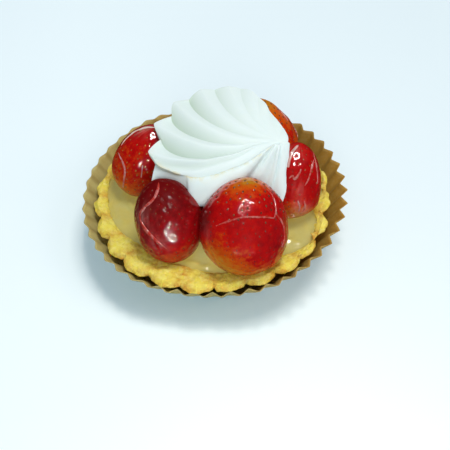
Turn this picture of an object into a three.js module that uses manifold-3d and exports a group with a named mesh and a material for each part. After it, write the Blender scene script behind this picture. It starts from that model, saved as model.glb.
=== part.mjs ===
// Strawberry tart in a pleated paper case: fluted crust, custard, six strawberries and a piped cream swirl.
// Millimetres, +Z up. The origin is the middle of the case's flat base, on the surface it stands on.
import * as THREE from "three";
import { mergeVertices } from "three/addons/utils/BufferGeometryUtils.js";
import Module from "manifold-3d";

const wasm = await Module();
wasm.setup();

const GAP = 0.3; // clearance between neighbouring pieces
const CUT_TOLERANCE = 0.03; // slivers thinner than this are merged away after a cut
const DEGREE = Math.PI / 180;

// Paper case: a flat base and a flared wall of zigzag pleats
const CASE_BASE_RADIUS = 32;
const CASE_RIM_RADIUS = 48.1;
const CASE_RIM_HEIGHT = 19.8;
const CASE_PAPER = 0.5;
const CASE_PLEATS = 46;
const CASE_PLEAT_SWAY = 0.12; // share of a quarter pleat by which the folds stray from an even spacing
const CASE_SWAY_WAVES = 4;
const CASE_PLEAT_DEPTH = 1.45;
const CASE_PLEAT_DEPTH_CHANGE = 0.75; // deeper than the mean towards the front right, shallower opposite
const CASE_DEEP_PLEATS = -30;
const CASE_SAG_ANGLE = -100; // the heavy side of the crust presses the wall in and down here and opposite
const CASE_SAG_RADIUS = 3.1;
const CASE_SAG_HEIGHT = 2.6;
const CASE_WALL_LEVELS = [0.12, 0.5, 1];

// Crust: a fluted shell, set a little off the middle of its case
const CRUST_X = -1.0;
const CRUST_Y = -1.6;
const CRUST_BASE = 0.9;
// Outside of the wall from its base up to the lip: radius, height, share of the flutes' depth
const CRUST_WALL = [[29.5, CRUST_BASE, 0.3], [34.8, 9.5, 0.7], [38.8, 15, 0.9], [40.7, 17, 1]];
const CRUST_RADIUS = 42.6;
const CRUST_LIP = 1.3; // width of the rounded lip
const CRUST_CREST_PLACE = 0.62; // where the rim is highest, from its inner edge to its outer edge
const CRUST_INNER_EDGE = 0.9;
const CRUST_RIM_HEIGHT = 18.2;
const CRUST_CREST = 1.6;
const CRUST_FLUTES = 23;
const CRUST_FLUTE_COLUMNS = 8; // columns of the mesh in each flute
const CRUST_FIRST_NOTCH = -93.1;
const CRUST_FLUTE_DEPTH = 2.6;
const CRUST_FLUTE_ROUNDNESS = 0.55; // below 1, lobes are blunt and the notches between them sharp
const CRUST_FLUTE_SWAY = 1.3; // degrees by which the flutes stray from an even spacing
const CRUST_SWAY_WAVES = 3;
const CRUST_SWAY_ANGLE = -150;
const CRUST_FLOOR = 5;
const CRUST_FLOOR_RADIUS = 27;
const CRUST_INNER_RADIUS = 39.0;
const CRUST_THICK_RIM = [-122, 7.5, 50]; // the rim is thicker here: direction, extra thickness, width

// Custard filling
const CUSTARD_TOP = 17.3;
const CUSTARD_GAP = 0.48;
const CUSTARD_SIDES = 64;

// Strawberries: middle of the widest section, tip, greatest radius, depth of the round end, fullness of the tip
const BERRIES = [
  { middle: [-26.3, 9.4, 25.2], tip: [-17.5, 12.0, 42.3], radius: 10.3, round: 1.0, fullness: 2.1 },
  { middle: [-16.1, -21.5, 27.5], tip: [-18.5, -12.6, 41.8], radius: 11.2, round: 1.13, fullness: 2.4 },
  { middle: [9.1, -27.4, 28.3], tip: [12.2, -17.0, 43.9], radius: 14.8, round: 0.97, fullness: 2.2 },
  { middle: [26.6, -7.2, 25.2], tip: [30.6, 0.2, 41.2], radius: 10.3, round: 0.94, fullness: 2.3 },
  { middle: [19.8, 16.0, 26.4], tip: [14.3, 22.0, 43.2], radius: 12.2, round: 0.86, fullness: 1.8 },
  { middle: [-3.9, 26.0, 25.5], tip: [-2.5, 18.5, 40.5], radius: 11.6, round: 0.88, fullness: 2.0 },
];
const BERRY_SHOULDER = 0.58;
const BERRY_SIDES = 16;
const BERRY_RINGS = 6; // on each side of the widest section

// Cream: a piped swirl whose ridges run from an off-centre pole to a ring of lobes, over a lower tier
const CREAM_X = 3.6;
const CREAM_Y = 1.1;
const CREAM_RADIUS = 24.7;
const CREAM_RING_HEIGHT = 44.1;
const CREAM_TILT = 2.9; // the ring is higher at the back
const CREAM_DOME = 3.2;
const CREAM_POLE = [23.2, 2.25];
const CREAM_TWIST = 32;
const CREAM_TWIST_CHANGE = -18;
const CREAM_TWIST_SIDE = 6;
const CREAM_CREASES = [172.8, 143.3, 120.2, 94, 73, 55, 38, 20, 2, -16, -33, -50, -69.5, -153.3];
const CREAM_RIDGE_DEPTH = 2.9;
const CREAM_RIDGE_DEPTH_CHANGE = 1.6;
const CREAM_CREST = 0.44; // where a ridge is highest between its two creases
const CREAM_COLUMN_TURN = 3.5; // degrees of the ring between two columns of the mesh
const CREAM_LEAST_COLUMNS = 5; // in each ridge
const CREAM_RINGS = 9;
const CREAM_END = 17.9;
const CREAM_END_SHARE = 0.4; // radius of the flat end as a share of the ring's
// Where strawberries stand in the cream's ring: direction, inward dent, width of the dent
const CREAM_DENTS = [[-80, 7.5, 26], [-140, 7, 20], [25, 4, 24], [64, -0.8, 14]];
// Feet that hang between the strawberries: direction, reach, hang, width
const CREAM_FEET = [[-155, 4.3, -0.5, 22], [-114, 6.0, -4.5, 12], [-34, 6.3, 5, 18]];
// Side of the cream below its ring: inward step, drop and share of the feet
const CREAM_SIDE = [
  [0.5, 2.2, 0], [1.8, 4.2, 0.3], [3.8, 5.6, 0.9], [3.7, 7.4, 1], [4.2, 10.4, 1], [8.5, 13, 0.7], [11.5, 22, 0],
];

const berryPaint = (colour) => new THREE.MeshStandardMaterial({ color: colour, roughness: 0.18, metalness: 0 });
const PAPER = new THREE.MeshStandardMaterial({ color: 0x8f8150, roughness: 0.8, side: THREE.DoubleSide });
const BAKED = new THREE.MeshStandardMaterial({ color: 0xd0c056, roughness: 0.85 });
const CUSTARD = new THREE.MeshStandardMaterial({ color: 0xbab070, roughness: 0.3 });
const CREAM = new THREE.MeshStandardMaterial({ color: 0xdcefeb, roughness: 0.55 });

// ---- helpers ------------------------------------------------------------------------------------------------

const mix = (a, b, t) => a + (b - a) * t;

const turnDifference = (a, b) => ((a - b + 540) % 360 + 360) % 360 - 180;

const bump = (angle, middle, width) => Math.exp(-((turnDifference(angle, middle) / width) ** 2));

// A closed surface of revolution-like rings: each ring is a list of points, the first and last ring are poles.
function ringedSurface(startPole, rings, endPole) {
  const sides = rings[0].length;
  const points = [startPole, ...rings.flat(), endPole];
  const triangles = [];
  const at = (ring, side) => 1 + ring * sides + (side % sides);
  for (let side = 0; side < sides; side++) {
    triangles.push(0, at(0, side + 1), at(0, side));
    for (let ring = 0; ring + 1 < rings.length; ring++) {
      triangles.push(at(ring, side), at(ring, side + 1), at(ring + 1, side + 1));
      triangles.push(at(ring, side), at(ring + 1, side + 1), at(ring + 1, side));
    }
    triangles.push(points.length - 1, at(rings.length - 1, side), at(rings.length - 1, side + 1));
  }
  const geometry = new THREE.BufferGeometry();
  geometry.setAttribute("position", new THREE.Float32BufferAttribute(points.flat(), 3));
  geometry.setIndex(triangles);
  return geometry;
}

function toManifold(geometry) {
  const bare = geometry.clone();
  bare.deleteAttribute("normal");
  bare.deleteAttribute("uv");
  const merged = mergeVertices(bare, 1e-4);
  const vertProperties = new Float32Array(merged.attributes.position.array);
  const triVerts = new Uint32Array(merged.index.array);
  return new wasm.Manifold(new wasm.Mesh({ numProp: 3, vertProperties, triVerts }));
}

function toGeometry(solid) {
  const mesh = solid.getMesh();
  const geometry = new THREE.BufferGeometry();
  geometry.setAttribute("position", new THREE.BufferAttribute(new Float32Array(mesh.vertProperties), 3));
  geometry.setIndex(new THREE.BufferAttribute(new Uint32Array(mesh.triVerts), 1));
  return geometry;
}

// The largest body that is left of a solid after every strawberry, grown by the gap, is cut from it.
function cutRoundBerries(geometry) {
  let solid = toManifold(geometry);
  for (const berry of BERRIES) {
    solid = solid.subtract(toManifold(berrySurface(berry, GAP)));
  }
  const bodies = solid.decompose();
  bodies.sort((a, b) => b.volume() - a.volume());
  return toGeometry(bodies[0].asOriginal().simplify(CUT_TOLERANCE));
}

function piece(name, geometry, material) {
  geometry.computeVertexNormals();
  const mesh = new THREE.Mesh(geometry, material);
  mesh.name = name;
  return mesh;
}

// ---- paper case ---------------------------------------------------------------------------------------------

const caseSag = (angle) => Math.max(0, Math.cos(2 * (angle - CASE_SAG_ANGLE) * DEGREE)) ** 3;

// Radius and height of the pleated wall at a share of its height; fold runs from 0 at a valley to 1 at a tip.
function caseWallPoint(angle, share, fold) {
  const sag = caseSag(angle);
  const depth = CASE_PLEAT_DEPTH + CASE_PLEAT_DEPTH_CHANGE * Math.cos((angle - CASE_DEEP_PLEATS) * DEGREE);
  const tip = mix(CASE_BASE_RADIUS, CASE_RIM_RADIUS - CASE_SAG_RADIUS * sag, share);
  const radius = tip - depth * share * (1 - fold);
  const height = share * (CASE_RIM_HEIGHT - CASE_SAG_HEIGHT * sag);
  return [radius, height];
}

function paperCase() {
  const sides = CASE_PLEATS * 4;
  const ring = (share, inside) => {
    const points = [];
    for (let side = 0; side < sides; side++) {
      const sway = CASE_PLEAT_SWAY * Math.sin(CASE_SWAY_WAVES * side * 2 * Math.PI / sides);
      const angle = (side + sway) * 360 / sides;
      const fold = 0.5 - 0.5 * Math.cos(side * Math.PI / 2);
      const [radius, height] = caseWallPoint(angle, share, fold);
      const r = inside ? radius - CASE_PAPER : radius;
      const z = inside ? Math.max(height, CASE_PAPER) : height;
      points.push([r * Math.cos(angle * DEGREE), r * Math.sin(angle * DEGREE), z]);
    }
    return points;
  };
  const outside = [ring(0, false), ...CASE_WALL_LEVELS.map((share) => ring(share, false))];
  const inside = [...CASE_WALL_LEVELS].reverse().map((share) => ring(share, true));
  inside.push(ring(0, true));
  return ringedSurface([0, 0, 0], [...outside, ...inside], [0, 0, CASE_PAPER]);
}

// ---- crust --------------------------------------------------------------------------------------------------

// Flutes are rounded lobes that meet in sharp notches: 1 in a notch, 0 in the middle of a lobe.
function fluteNotch(flute) {
  return 1 - Math.abs(Math.sin(Math.PI * flute)) ** CRUST_FLUTE_ROUNDNESS;
}

// Direction of a place along the rim that is counted in flutes from the first notch.
function fluteAngle(flute) {
  const even = CRUST_FIRST_NOTCH + flute * 360 / CRUST_FLUTES;
  return even - CRUST_FLUTE_SWAY * Math.cos(CRUST_SWAY_WAVES * (even - CRUST_SWAY_ANGLE) * DEGREE);
}

function crustInnerRadius(angle) {
  const [direction, thickness, width] = CRUST_THICK_RIM;
  return CRUST_INNER_RADIUS - thickness * bump(angle, direction, width);
}

// Outline of the shell in one direction, from the edge of its base round the rim to its inner floor.
function crustOutline(angle, flute) {
  const notch = fluteNotch(flute) * CRUST_FLUTE_DEPTH;
  const inner = crustInnerRadius(angle);
  const crest = mix(inner, CRUST_RADIUS, CRUST_CREST_PLACE);
  return [
    ...CRUST_WALL.map(([radius, height, share]) => [radius - notch * share, height]),
    [CRUST_RADIUS - notch, CRUST_RIM_HEIGHT],
    [CRUST_RADIUS - CRUST_LIP - notch * 0.8, CRUST_RIM_HEIGHT + CRUST_CREST * 0.8],
    [crest, CRUST_RIM_HEIGHT + CRUST_CREST],
    [inner + CRUST_INNER_EDGE, CRUST_RIM_HEIGHT + CRUST_CREST * 0.35],
    [inner, CUSTARD_TOP],
    [CRUST_FLOOR_RADIUS, CRUST_FLOOR],
  ];
}

function crustShell() {
  const outlines = [];
  for (let side = 0; side < CRUST_FLUTES * CRUST_FLUTE_COLUMNS; side++) {
    const flute = side / CRUST_FLUTE_COLUMNS;
    const angle = fluteAngle(flute);
    outlines.push(crustOutline(angle, flute).map(([r, z]) => [
      CRUST_X + r * Math.cos(angle * DEGREE), CRUST_Y + r * Math.sin(angle * DEGREE), z]));
  }
  const rings = outlines[0].map((_, level) => outlines.map((outline) => outline[level]));
  return ringedSurface([CRUST_X, CRUST_Y, CRUST_BASE], rings, [CRUST_X, CRUST_Y, CRUST_FLOOR]);
}

// ---- custard ------------------------------------------------------------------------------------------------

// Fills the shell's inside, with a gap that is a little wider than elsewhere because both walls are faceted.
function custard() {
  const wallSlope = (angle) => (crustInnerRadius(angle) - CRUST_FLOOR_RADIUS) / (CUSTARD_TOP - CRUST_FLOOR);
  const ring = (z) => {
    const points = [];
    for (let side = 0; side < CUSTARD_SIDES; side++) {
      const angle = side * 360 / CUSTARD_SIDES;
      const slope = wallSlope(angle);
      const clear = CUSTARD_GAP * Math.hypot(1, slope);
      const radius = crustInnerRadius(angle) - slope * (CUSTARD_TOP - z) - clear;
      points.push([CRUST_X + radius * Math.cos(angle * DEGREE), CRUST_Y + radius * Math.sin(angle * DEGREE), z]);
    }
    return points;
  };
  const bottom = CRUST_FLOOR + GAP;
  return ringedSurface([CRUST_X, CRUST_Y, bottom], [ring(bottom), ring(CUSTARD_TOP)], [CRUST_X, CRUST_Y, CUSTARD_TOP]);
}

// ---- strawberries -------------------------------------------------------------------------------------------

// Round at the hull end and drawn out to the tip; grow offsets the whole surface outwards.
function berrySurface(berry, grow) {
  const middle = new THREE.Vector3(...berry.middle);
  const axis = new THREE.Vector3(...berry.tip).sub(middle);
  const front = axis.length() + grow;
  axis.normalize();
  const across = new THREE.Vector3().crossVectors(axis, new THREE.Vector3(0, 0, 1)).normalize();
  const along = new THREE.Vector3().crossVectors(axis, across);
  const radius = berry.radius + grow;
  const back = berry.round * berry.radius + grow;
  const ring = (distance, r) => {
    const points = [];
    for (let side = 0; side < BERRY_SIDES; side++) {
      const turn = side * 2 * Math.PI / BERRY_SIDES;
      const point = middle.clone().addScaledVector(axis, distance);
      point.addScaledVector(across, r * Math.cos(turn)).addScaledVector(along, r * Math.sin(turn));
      points.push(point.toArray());
    }
    return points;
  };
  const rings = [];
  for (let i = 1; i <= BERRY_RINGS; i++) {
    const share = -Math.cos(i / BERRY_RINGS * Math.PI / 2);
    rings.push(ring(back * share, radius * Math.sqrt(1 - share * share)));
  }
  for (let i = 1; i < BERRY_RINGS; i++) {
    const share = Math.sin(i / BERRY_RINGS * Math.PI / 2);
    rings.push(ring(front * share, radius * (1 - share ** berry.fullness) ** BERRY_SHOULDER));
  }
  const end = (distance) => middle.clone().addScaledVector(axis, distance).toArray();
  return ringedSurface(end(-back), rings, end(front));
}

// ---- cream --------------------------------------------------------------------------------------------------

function creamDent(angle) {
  let dent = 0;
  for (const [direction, depth, width] of CREAM_DENTS) dent += depth * bump(angle, direction, width);
  return dent;
}

// How far the feet reach outwards and hang down in one direction.
function creamFoot(angle) {
  const foot = { reach: 0, hang: 0 };
  for (const [direction, reach, hang, width] of CREAM_FEET) {
    foot.reach += reach * bump(angle, direction, width);
    foot.hang += hang * bump(angle, direction, width);
  }
  return foot;
}

// Top of the swirl without its ridges: share 0 at the pole, 1 on the ring.
function creamTop(share, angle) {
  const a = angle * DEGREE;
  const edge = [CREAM_X + CREAM_RADIUS * Math.cos(a), CREAM_Y + CREAM_RADIUS * Math.sin(a)];
  const twist = (CREAM_TWIST + CREAM_TWIST_CHANGE * Math.cos(a) + CREAM_TWIST_SIDE * Math.sin(a)) * DEGREE;
  const turn = twist * (1 - share);
  const dx = edge[0] - CREAM_POLE[0];
  const dy = edge[1] - CREAM_POLE[1];
  const px = CREAM_POLE[0] + share * (Math.cos(turn) * dx - Math.sin(turn) * dy) - CREAM_X;
  const py = CREAM_POLE[1] + share * (Math.sin(turn) * dx + Math.cos(turn) * dy) - CREAM_Y;
  const out = Math.min(1, Math.hypot(px, py) / CREAM_RADIUS);
  const direction = Math.atan2(py, px);
  const pull = 1 - creamDent(direction / DEGREE) / CREAM_RADIUS * out ** 5;
  const z = CREAM_RING_HEIGHT + CREAM_TILT * out * Math.sin(direction) + CREAM_DOME * (1 - out * out);
  return new THREE.Vector3(CREAM_X + px * pull, CREAM_Y + py * pull, z);
}

// Side of the cream below the ring, down to its round end on the custard.
function creamSide(level, angle) {
  const ring = creamTop(1, angle);
  const [step, drop, footShare] = CREAM_SIDE[level];
  const foot = creamFoot(angle);
  const radial = new THREE.Vector3(Math.cos(angle * DEGREE), Math.sin(angle * DEGREE), 0);
  const z = Math.max(ring.z - drop - foot.hang * footShare, CREAM_END);
  return ring.addScaledVector(radial, foot.reach * footShare - step).setZ(z);
}

// Height of a ridge between two creases, 0 in the creases and 1 on its crest.
function ridgeHeight(share) {
  const warped = share ** (Math.log(0.5) / Math.log(CREAM_CREST));
  return Math.sin(Math.PI * warped) ** 0.75;
}

function creamColumns() {
  const columns = [];
  CREAM_CREASES.forEach((crease, index) => {
    const next = CREAM_CREASES[(index + 1) % CREAM_CREASES.length];
    const width = ((crease - next) % 360 + 360) % 360;
    const count = Math.max(CREAM_LEAST_COLUMNS, Math.round(width / CREAM_COLUMN_TURN));
    for (let i = 0; i < count; i++) {
      const share = i / count;
      columns.push({ angle: crease - width * share, height: ridgeHeight(1 - share) });
    }
  });
  return columns.reverse();
}

function creamSwirl() {
  const columns = creamColumns();
  const depthAt = (angle) => CREAM_RIDGE_DEPTH - CREAM_RIDGE_DEPTH_CHANGE * Math.cos(angle * DEGREE);
  const rings = [];
  for (let ring = 1; ring <= CREAM_RINGS; ring++) {
    const share = 1 - (1 - ring / CREAM_RINGS) ** 1.5;
    const lean = share ** 8; // the creases cut downwards on top and inwards at the ring
    rings.push(columns.map(({ angle, height }) => {
      const depth = depthAt(angle) * (1 - height) * (0.15 + 0.85 * share);
      const point = creamTop(share, angle);
      point.x -= depth * lean * Math.cos(angle * DEGREE);
      point.y -= depth * lean * Math.sin(angle * DEGREE);
      point.z -= depth * (1 - lean) * 0.8;
      return point.toArray();
    }));
  }
  for (let level = 0; level < CREAM_SIDE.length; level++) {
    const fade = 1 - level / CREAM_SIDE.length;
    rings.push(columns.map(({ angle, height }) => {
      const depth = depthAt(angle) * (1 - height) * fade;
      const point = creamSide(level, angle);
      point.x -= depth * Math.cos(angle * DEGREE);
      point.y -= depth * Math.sin(angle * DEGREE);
      return point.toArray();
    }));
  }
  rings.push(columns.map(({ angle }) => {
    const radius = CREAM_RADIUS * CREAM_END_SHARE;
    return [CREAM_X + radius * Math.cos(angle * DEGREE), CREAM_Y + radius * Math.sin(angle * DEGREE), CREAM_END];
  }));
  const pole = creamTop(0, 0);
  rings.reverse();
  return ringedSurface([CREAM_X, CREAM_Y, CREAM_END], rings, pole.toArray());
}

// ---- the tart -----------------------------------------------------------------------------------------------

const BERRY_COLOURS = [0xa40806, 0x7c0608, 0xa81a06, 0xa61216, 0xb04408, 0xa40a08];

const tart = new THREE.Group();
tart.add(piece("paper_case", paperCase(), PAPER));
tart.add(piece("crust", cutRoundBerries(crustShell()), BAKED));
tart.add(piece("filling", cutRoundBerries(custard()), CUSTARD));
BERRIES.forEach((berry, index) => {
  tart.add(piece(`strawberry_${index + 1}`, berrySurface(berry, 0), berryPaint(BERRY_COLOURS[index])));
});
tart.add(piece("cream", cutRoundBerries(creamSwirl()), CREAM));

export default tart;
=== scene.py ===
from typing import NamedTuple

import bpy
import numpy as np
from bpy.props import FloatProperty, FloatVectorProperty, IntProperty, PointerProperty
from mathutils import Matrix, Vector


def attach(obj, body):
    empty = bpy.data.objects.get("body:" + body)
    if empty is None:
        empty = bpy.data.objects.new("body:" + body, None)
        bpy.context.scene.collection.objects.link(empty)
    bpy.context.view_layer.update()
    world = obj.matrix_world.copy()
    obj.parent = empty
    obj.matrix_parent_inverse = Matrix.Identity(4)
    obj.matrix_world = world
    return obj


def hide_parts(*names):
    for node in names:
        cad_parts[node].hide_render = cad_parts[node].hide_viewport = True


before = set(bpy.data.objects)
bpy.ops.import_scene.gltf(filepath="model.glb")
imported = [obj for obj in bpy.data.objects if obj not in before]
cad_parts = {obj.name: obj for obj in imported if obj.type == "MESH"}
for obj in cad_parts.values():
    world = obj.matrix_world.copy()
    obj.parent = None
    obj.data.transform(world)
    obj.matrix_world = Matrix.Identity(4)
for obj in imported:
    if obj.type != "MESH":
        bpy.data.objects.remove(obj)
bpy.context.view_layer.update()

bl_info = {
    "name": "Strawberry Tart",
    "version": (1, 0, 0),
    "blender": (4, 5, 0),
    "location": "3D View > Sidebar > Tart",
    "description": "Makes a strawberry tart in its pleated paper case, piece by piece",
    "category": "Add Mesh",
}

MM = 0.001
DEGREE = np.pi / 180

# Middle of the crust and of the cream's ring, in mm
CRUST_MIDDLE = np.array([-1.0, -1.6])
CREAM_MIDDLE = np.array([3.6, 1.1])
CUSTARD_TOP = 17.3
# Radius and height of the shell's inner floor, and the height of the custard's underside, in mm
SHELL_FLOOR = (27, 5.0)
CUSTARD_UNDERSIDE = 5.3


class Strawberry(NamedTuple):
    """Place and looks of a strawberry. Ripeness is given at the hull end, the middle and the tip, from 0 pale to 1
    darkest. Seeds are a tone, from 0 dark to 1 straw, and how far red covers them at the hull end and at the tip.
    Patches, bulges, milk-white places (set gel, partly painted sheen) and dull places are each a turn in degrees, a
    share of the length, a size in mm and an amount."""

    node: str
    middle: tuple
    tip: tuple
    radius: float
    back: float
    fullness: float
    ripeness: tuple
    seeds: tuple
    patches: tuple = ()
    bulges: tuple = ()
    milky: tuple = ()
    dull: tuple = ()


STRAWBERRIES = [
    Strawberry(
        "strawberry_1", (-26.3, 9.4, 25.2), (-17.5, 12.0, 42.3), 10.3, 1.0, 2.1, (0.28, 0.46, 0.60), (0.9, 0.45, 0.35),
        patches=[(-45, -0.55, 6, -0.16), (-80, 0.95, 6, 0.1)], milky=[(-116, 0.85, 3, 0.5)],
    ),
    Strawberry(
        "strawberry_2", (-16.1, -21.5, 27.5), (-18.5, -12.6, 41.8), 11.2, 1.13, 2.4, (0.62, 0.78, 1.22),
        seeds=(0.2, 0.75, 0.75),
        patches=[(-130, 0.75, 7, 0.1), (-106, -0.45, 5, -0.12)], bulges=[(-36, 0.4, 8, 1.6), (-60, 0.15, 6, 0.4)],
        milky=[(-122, -0.2, 3.5, 0.22), (-150, 0.4, 4, 0.25)],
        dull=[(-95, 0.95, 6, 1.0), (-50, 0.85, 5, 0.8), (-76, 0.68, 6, 0.95)],
    ),
    Strawberry(
        "strawberry_3", (9.1, -27.4, 28.3), (12.2, -17.0, 43.9), 14.8, 0.97, 2.2, (0.32, 0.70, 0.30), (0.05, 0.8, 0.0),
        patches=[
            (-112, 0.85, 7, -0.08), (-100, 0.98, 4, -0.2), (-31, 0.75, 7, 0.14), (-135, 0.0, 9, -0.24),
            (-112, -0.45, 8, -0.14), (-92, -0.6, 8, -0.22), (-150, 0.33, 5, 0.5), (-144, 0.17, 4, 0.45),
            (-110, 0.55, 5, 0.15),
        ],
        bulges=[(-140, 0.36, 8, 1.2), (-75, 0.7, 7, 0.4)], milky=[(-135, 0.1, 3, 0.15)],
        dull=[(-68, 0.28, 6, 0.9), (-77, 0.03, 5, 0.8), (-80, 0.52, 3, 0.8)],
    ),
    Strawberry(
        "strawberry_4", (26.6, -7.2, 25.2), (30.6, 0.2, 41.2), 10.3, 0.94, 2.3, (0.34, 0.58, 0.58), (0.8, 0.85, 0.7),
        patches=[(-47, -0.6, 6, -0.26), (-67, -0.4, 5, -0.12)], bulges=[(-60, 0.35, 4, -0.4)],
        milky=[(-95, 0.85, 3, 0.4), (-45, -0.3, 3, 0.5), (-58, 0.28, 2.5, 0.2)],
        dull=[(-64, 0.5, 4, 0.8), (-58, 0.15, 6, 0.85)],
    ),
    Strawberry(
        "strawberry_5", (19.8, 16.0, 26.4), (14.3, 22.0, 43.2), 12.2, 0.86, 1.8, (0.34, 0.36, 0.10), (0.0, 0.1, 0.0),
        milky=[(-36, 0.5, 3, 0.3)], dull=[(-62, 0.8, 12, 0.95)],
    ),
    Strawberry(
        "strawberry_6", (-3.9, 26.0, 25.5), (-2.5, 18.5, 40.5), 11.6, 0.88, 2.0, (0.40, 0.58, 0.60), (0.6, 0.4, 0.3),
    ),
]
# How full the shoulders are; columns and rows of a strawberry; the turn from one seed to the next, a seed's corners
# round, and the start of the random draws
STRAWBERRY_SHOULDER = 0.58
STRAWBERRY_COLUMNS = 220
STRAWBERRY_ROWS = 132
GOLDEN_ANGLE = 137.508
SEED_SIDES = 6
RANDOM_START = 6388

# Folds of set gel on the strawberries: strawberry, milk-whiteness of set gel and painted sheen, width and height in mm,
# and (turn, share) places
GEL_FOLDS = [
    (0, 0.30, 0.9, 0.22, [(-97, 0.26), (-70, 0.23), (-54, 0.06), (-48, -0.48)]),
    (0, 0.90, 0.8, 0.22, [(-90, 0.99), (-114, 0.91), (-118, 0.76), (-112, 0.57), (-104, 0.38)]),
    (0, 0.4, 0.4, 0.10, [(-30, 0.42), (-26, 0.30), (-22, 0.17)]),
    (1, 0.06, 1.1, 0.26, [
        (-95, 0.97), (-105, 0.86), (-119, 0.73), (-144, 0.58), (-152, 0.43), (-143, 0.24), (-130, 0.06), (-119, -0.14),
        (-109, -0.38),
    ]),
    (1, 0.25, 0.7, 0.22, [(-136, 0.62), (-149, 0.50), (-152, 0.40)]),
    (2, 0.08, 0.6, 0.20, [(-118, 0.24), (-107, 0.33), (-88, 0.45), (-70, 0.48), (-52, 0.48), (-37, 0.46), (-31, 0.53)]),
    (2, 0.14, 0.6, 0.22, [(-37, 0.46), (-29, 0.56), (-24, 0.66), (-19, 0.79), (-22, 0.88)]),
    (2, 0.0, 1.0, 0.26, [(-31, 0.53), (-20, 0.36), (-16, 0.15), (-20, -0.1)]),
    (3, 0.45, 1.3, 0.22, [(-92, 0.98), (-98, 0.88), (-96, 0.76), (-90, 0.62)]),
    (3, 0.12, 0.6, 0.14, [(-82, 0.44), (-76, 0.50), (-70, 0.45), (-63, 0.55), (-59, 0.64)]),
    (3, 0.15, 0.7, 0.18, [(-47, 0.34), (-40, 0.45), (-32, 0.62), (-22, 0.72), (-8, 0.78)]),
    (3, 0.20, 0.6, 0.16, [(20, 0.86), (2, 0.80), (-6, 0.70), (-11, 0.57), (-14, 0.35)]),
    (3, 0.25, 0.7, 0.16, [(-56, 0.05), (-50, -0.12), (-48, -0.36)]),
    (3, 0.20, 0.6, 0.16, [(-43, 0.05), (-38, -0.15), (-39, -0.38)]),
    (4, 0.35, 0.7, 0.2, [(-44, 0.66), (-38, 0.55), (-34, 0.44), (-30, 0.27), (-33, 0.05), (-45, -0.15)]),
    (4, 0.3, 0.6, 0.2, [(-38, 0.55), (-46, 0.45), (-52, 0.35)]),
]

# Cream: directions of the creases; the rim's direction, radius, lift and depth of creases; steps and drops of the side;
# the pole that the ridges run to, and the height of the underside
CREAM_CREASES = np.array([172.8, 143.3, 117.5, 92, 70, 52, 34, 10, -12, -150])
CREAM_RIM = np.array([
    (-184, 25.4, 0, 1.5), (-169, 25.3, 0, 1.3), (-163, 25.2, 0, 0.9), (-158, 24.2, 0, 0.5), (-154, 22.9, 0, 0.25),
    (-149, 21.3, 0, 0.1), (-142, 19.8, 0, 0), (-134, 18.7, 0.1, 0), (-126, 18.0, 0.3, 0), (-110, 15.8, 0.8, 0),
    (-93, 14.1, 1.4, 0), (-64, 13.5, 2.1, 0), (-45, 13.9, 2.0, 0), (-36, 14.3, 1.8, 0), (-28, 15.1, 1.6, 0),
    (-20, 16.7, 1.4, 0), (-15, 18.3, 1.0, 0), (-11, 20.6, 0.6, 0), (-7, 22.8, 0.2, 0.05), (5, 22.6, 0, 0.1),
    (25, 21.1, 0, 0.15), (45, 22.8, 0, 0.1), (64, 25.1, 0, 0.2), (90, 24.9, 0, 0.5), (120, 24.7, 0, 0.95),
    (150, 24.8, 0, 1.4), (176, 25.4, 0, 1.5),
])
CREAM_SIDE = np.array([(0, 0), (0.5, 2.2), (1.8, 4.2), (3.8, 5.6), (3.7, 7.4), (4.2, 10.4), (8.5, 13), (11.5, 22)])
CREAM_POLE = np.array([23.6, -1.2])
CREAM_UNDERSIDE = 17.9
# Lower fold of the cream: points of its upper and its lower edge and its swelling between them, in mm, and the rows
# with a crease
CREAM_FOLD = np.array([
    (-19.3, -5.3, 41.2, -21.0, -9.4, 37.8, 0.4), (-16.9, -6.9, 41.3, -18.4, -9.1, 37.2, 1.2),
    (-13.9, -8.5, 41.4, -14.4, -9.9, 36.6, 1.3), (-11.2, -10.4, 41.7, -10.4, -13.2, 36.2, 1.0),
    (-8.9, -12.2, 42.1, -8.2, -17.3, 36.0, 0.5), (-7.2, -13.2, 42.2, -7.3, -19.9, 35.5, 1.2),
    (-3.6, -13.8, 42.5, -2.3, -20.3, 35.4, 1.8), (0.5, -13.5, 42.9, 0.9, -18.9, 37.2, 1.8),
    (5.6, -12.2, 43.5, 5.1, -16.7, 38.8, 1.7), (12.1, -9.9, 44.2, 8.9, -14.8, 39.8, 1.5),
    (21.0, -4.0, 45.0, 12.1, -11.9, 38.8, 0.6), (21.9, -3.6, 45.2, 14.7, -12.5, 37.5, 1.2),
    (22.5, -3.9, 45.2, 17.4, -13.0, 35.5, 0.6), (23.0, -3.9, 45.1, 18.7, -13.6, 34.5, 1.3),
    (23.8, -3.2, 45.0, 19.8, -14.0, 33.8, 0.7), (24.9, -2.4, 44.9, 21.4, -16.4, 31.5, 0.9),
    (25.9, -2.1, 44.5, 22.7, -17.4, 30.6, 0.9), (26.8, -2.4, 43.7, 24.4, -14.6, 33.4, 0.5),
])
FOLD_CREASES = [10, 14]


# ---- shapes ----


def mix(a, b, share):
    """Straight blend from a to b."""
    return a + (b - a) * share


def turn_between(a, b):
    """Signed angle from b to a in degrees, from -180 to 180."""
    return (a - b + 180) % 360 - 180


def bell(t):
    """Bell of height 1: e to the minus square of t."""
    return np.exp(-(t**2))


def bump(angle, middle, width):
    """Bell over a direction: of the angle from its middle, over its width."""
    return bell(turn_between(angle, middle) / width)


def unit(vectors):
    """Vectors made one long."""
    return vectors / np.maximum(np.linalg.norm(vectors, axis=-1, keepdims=True), 1e-9)


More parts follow.
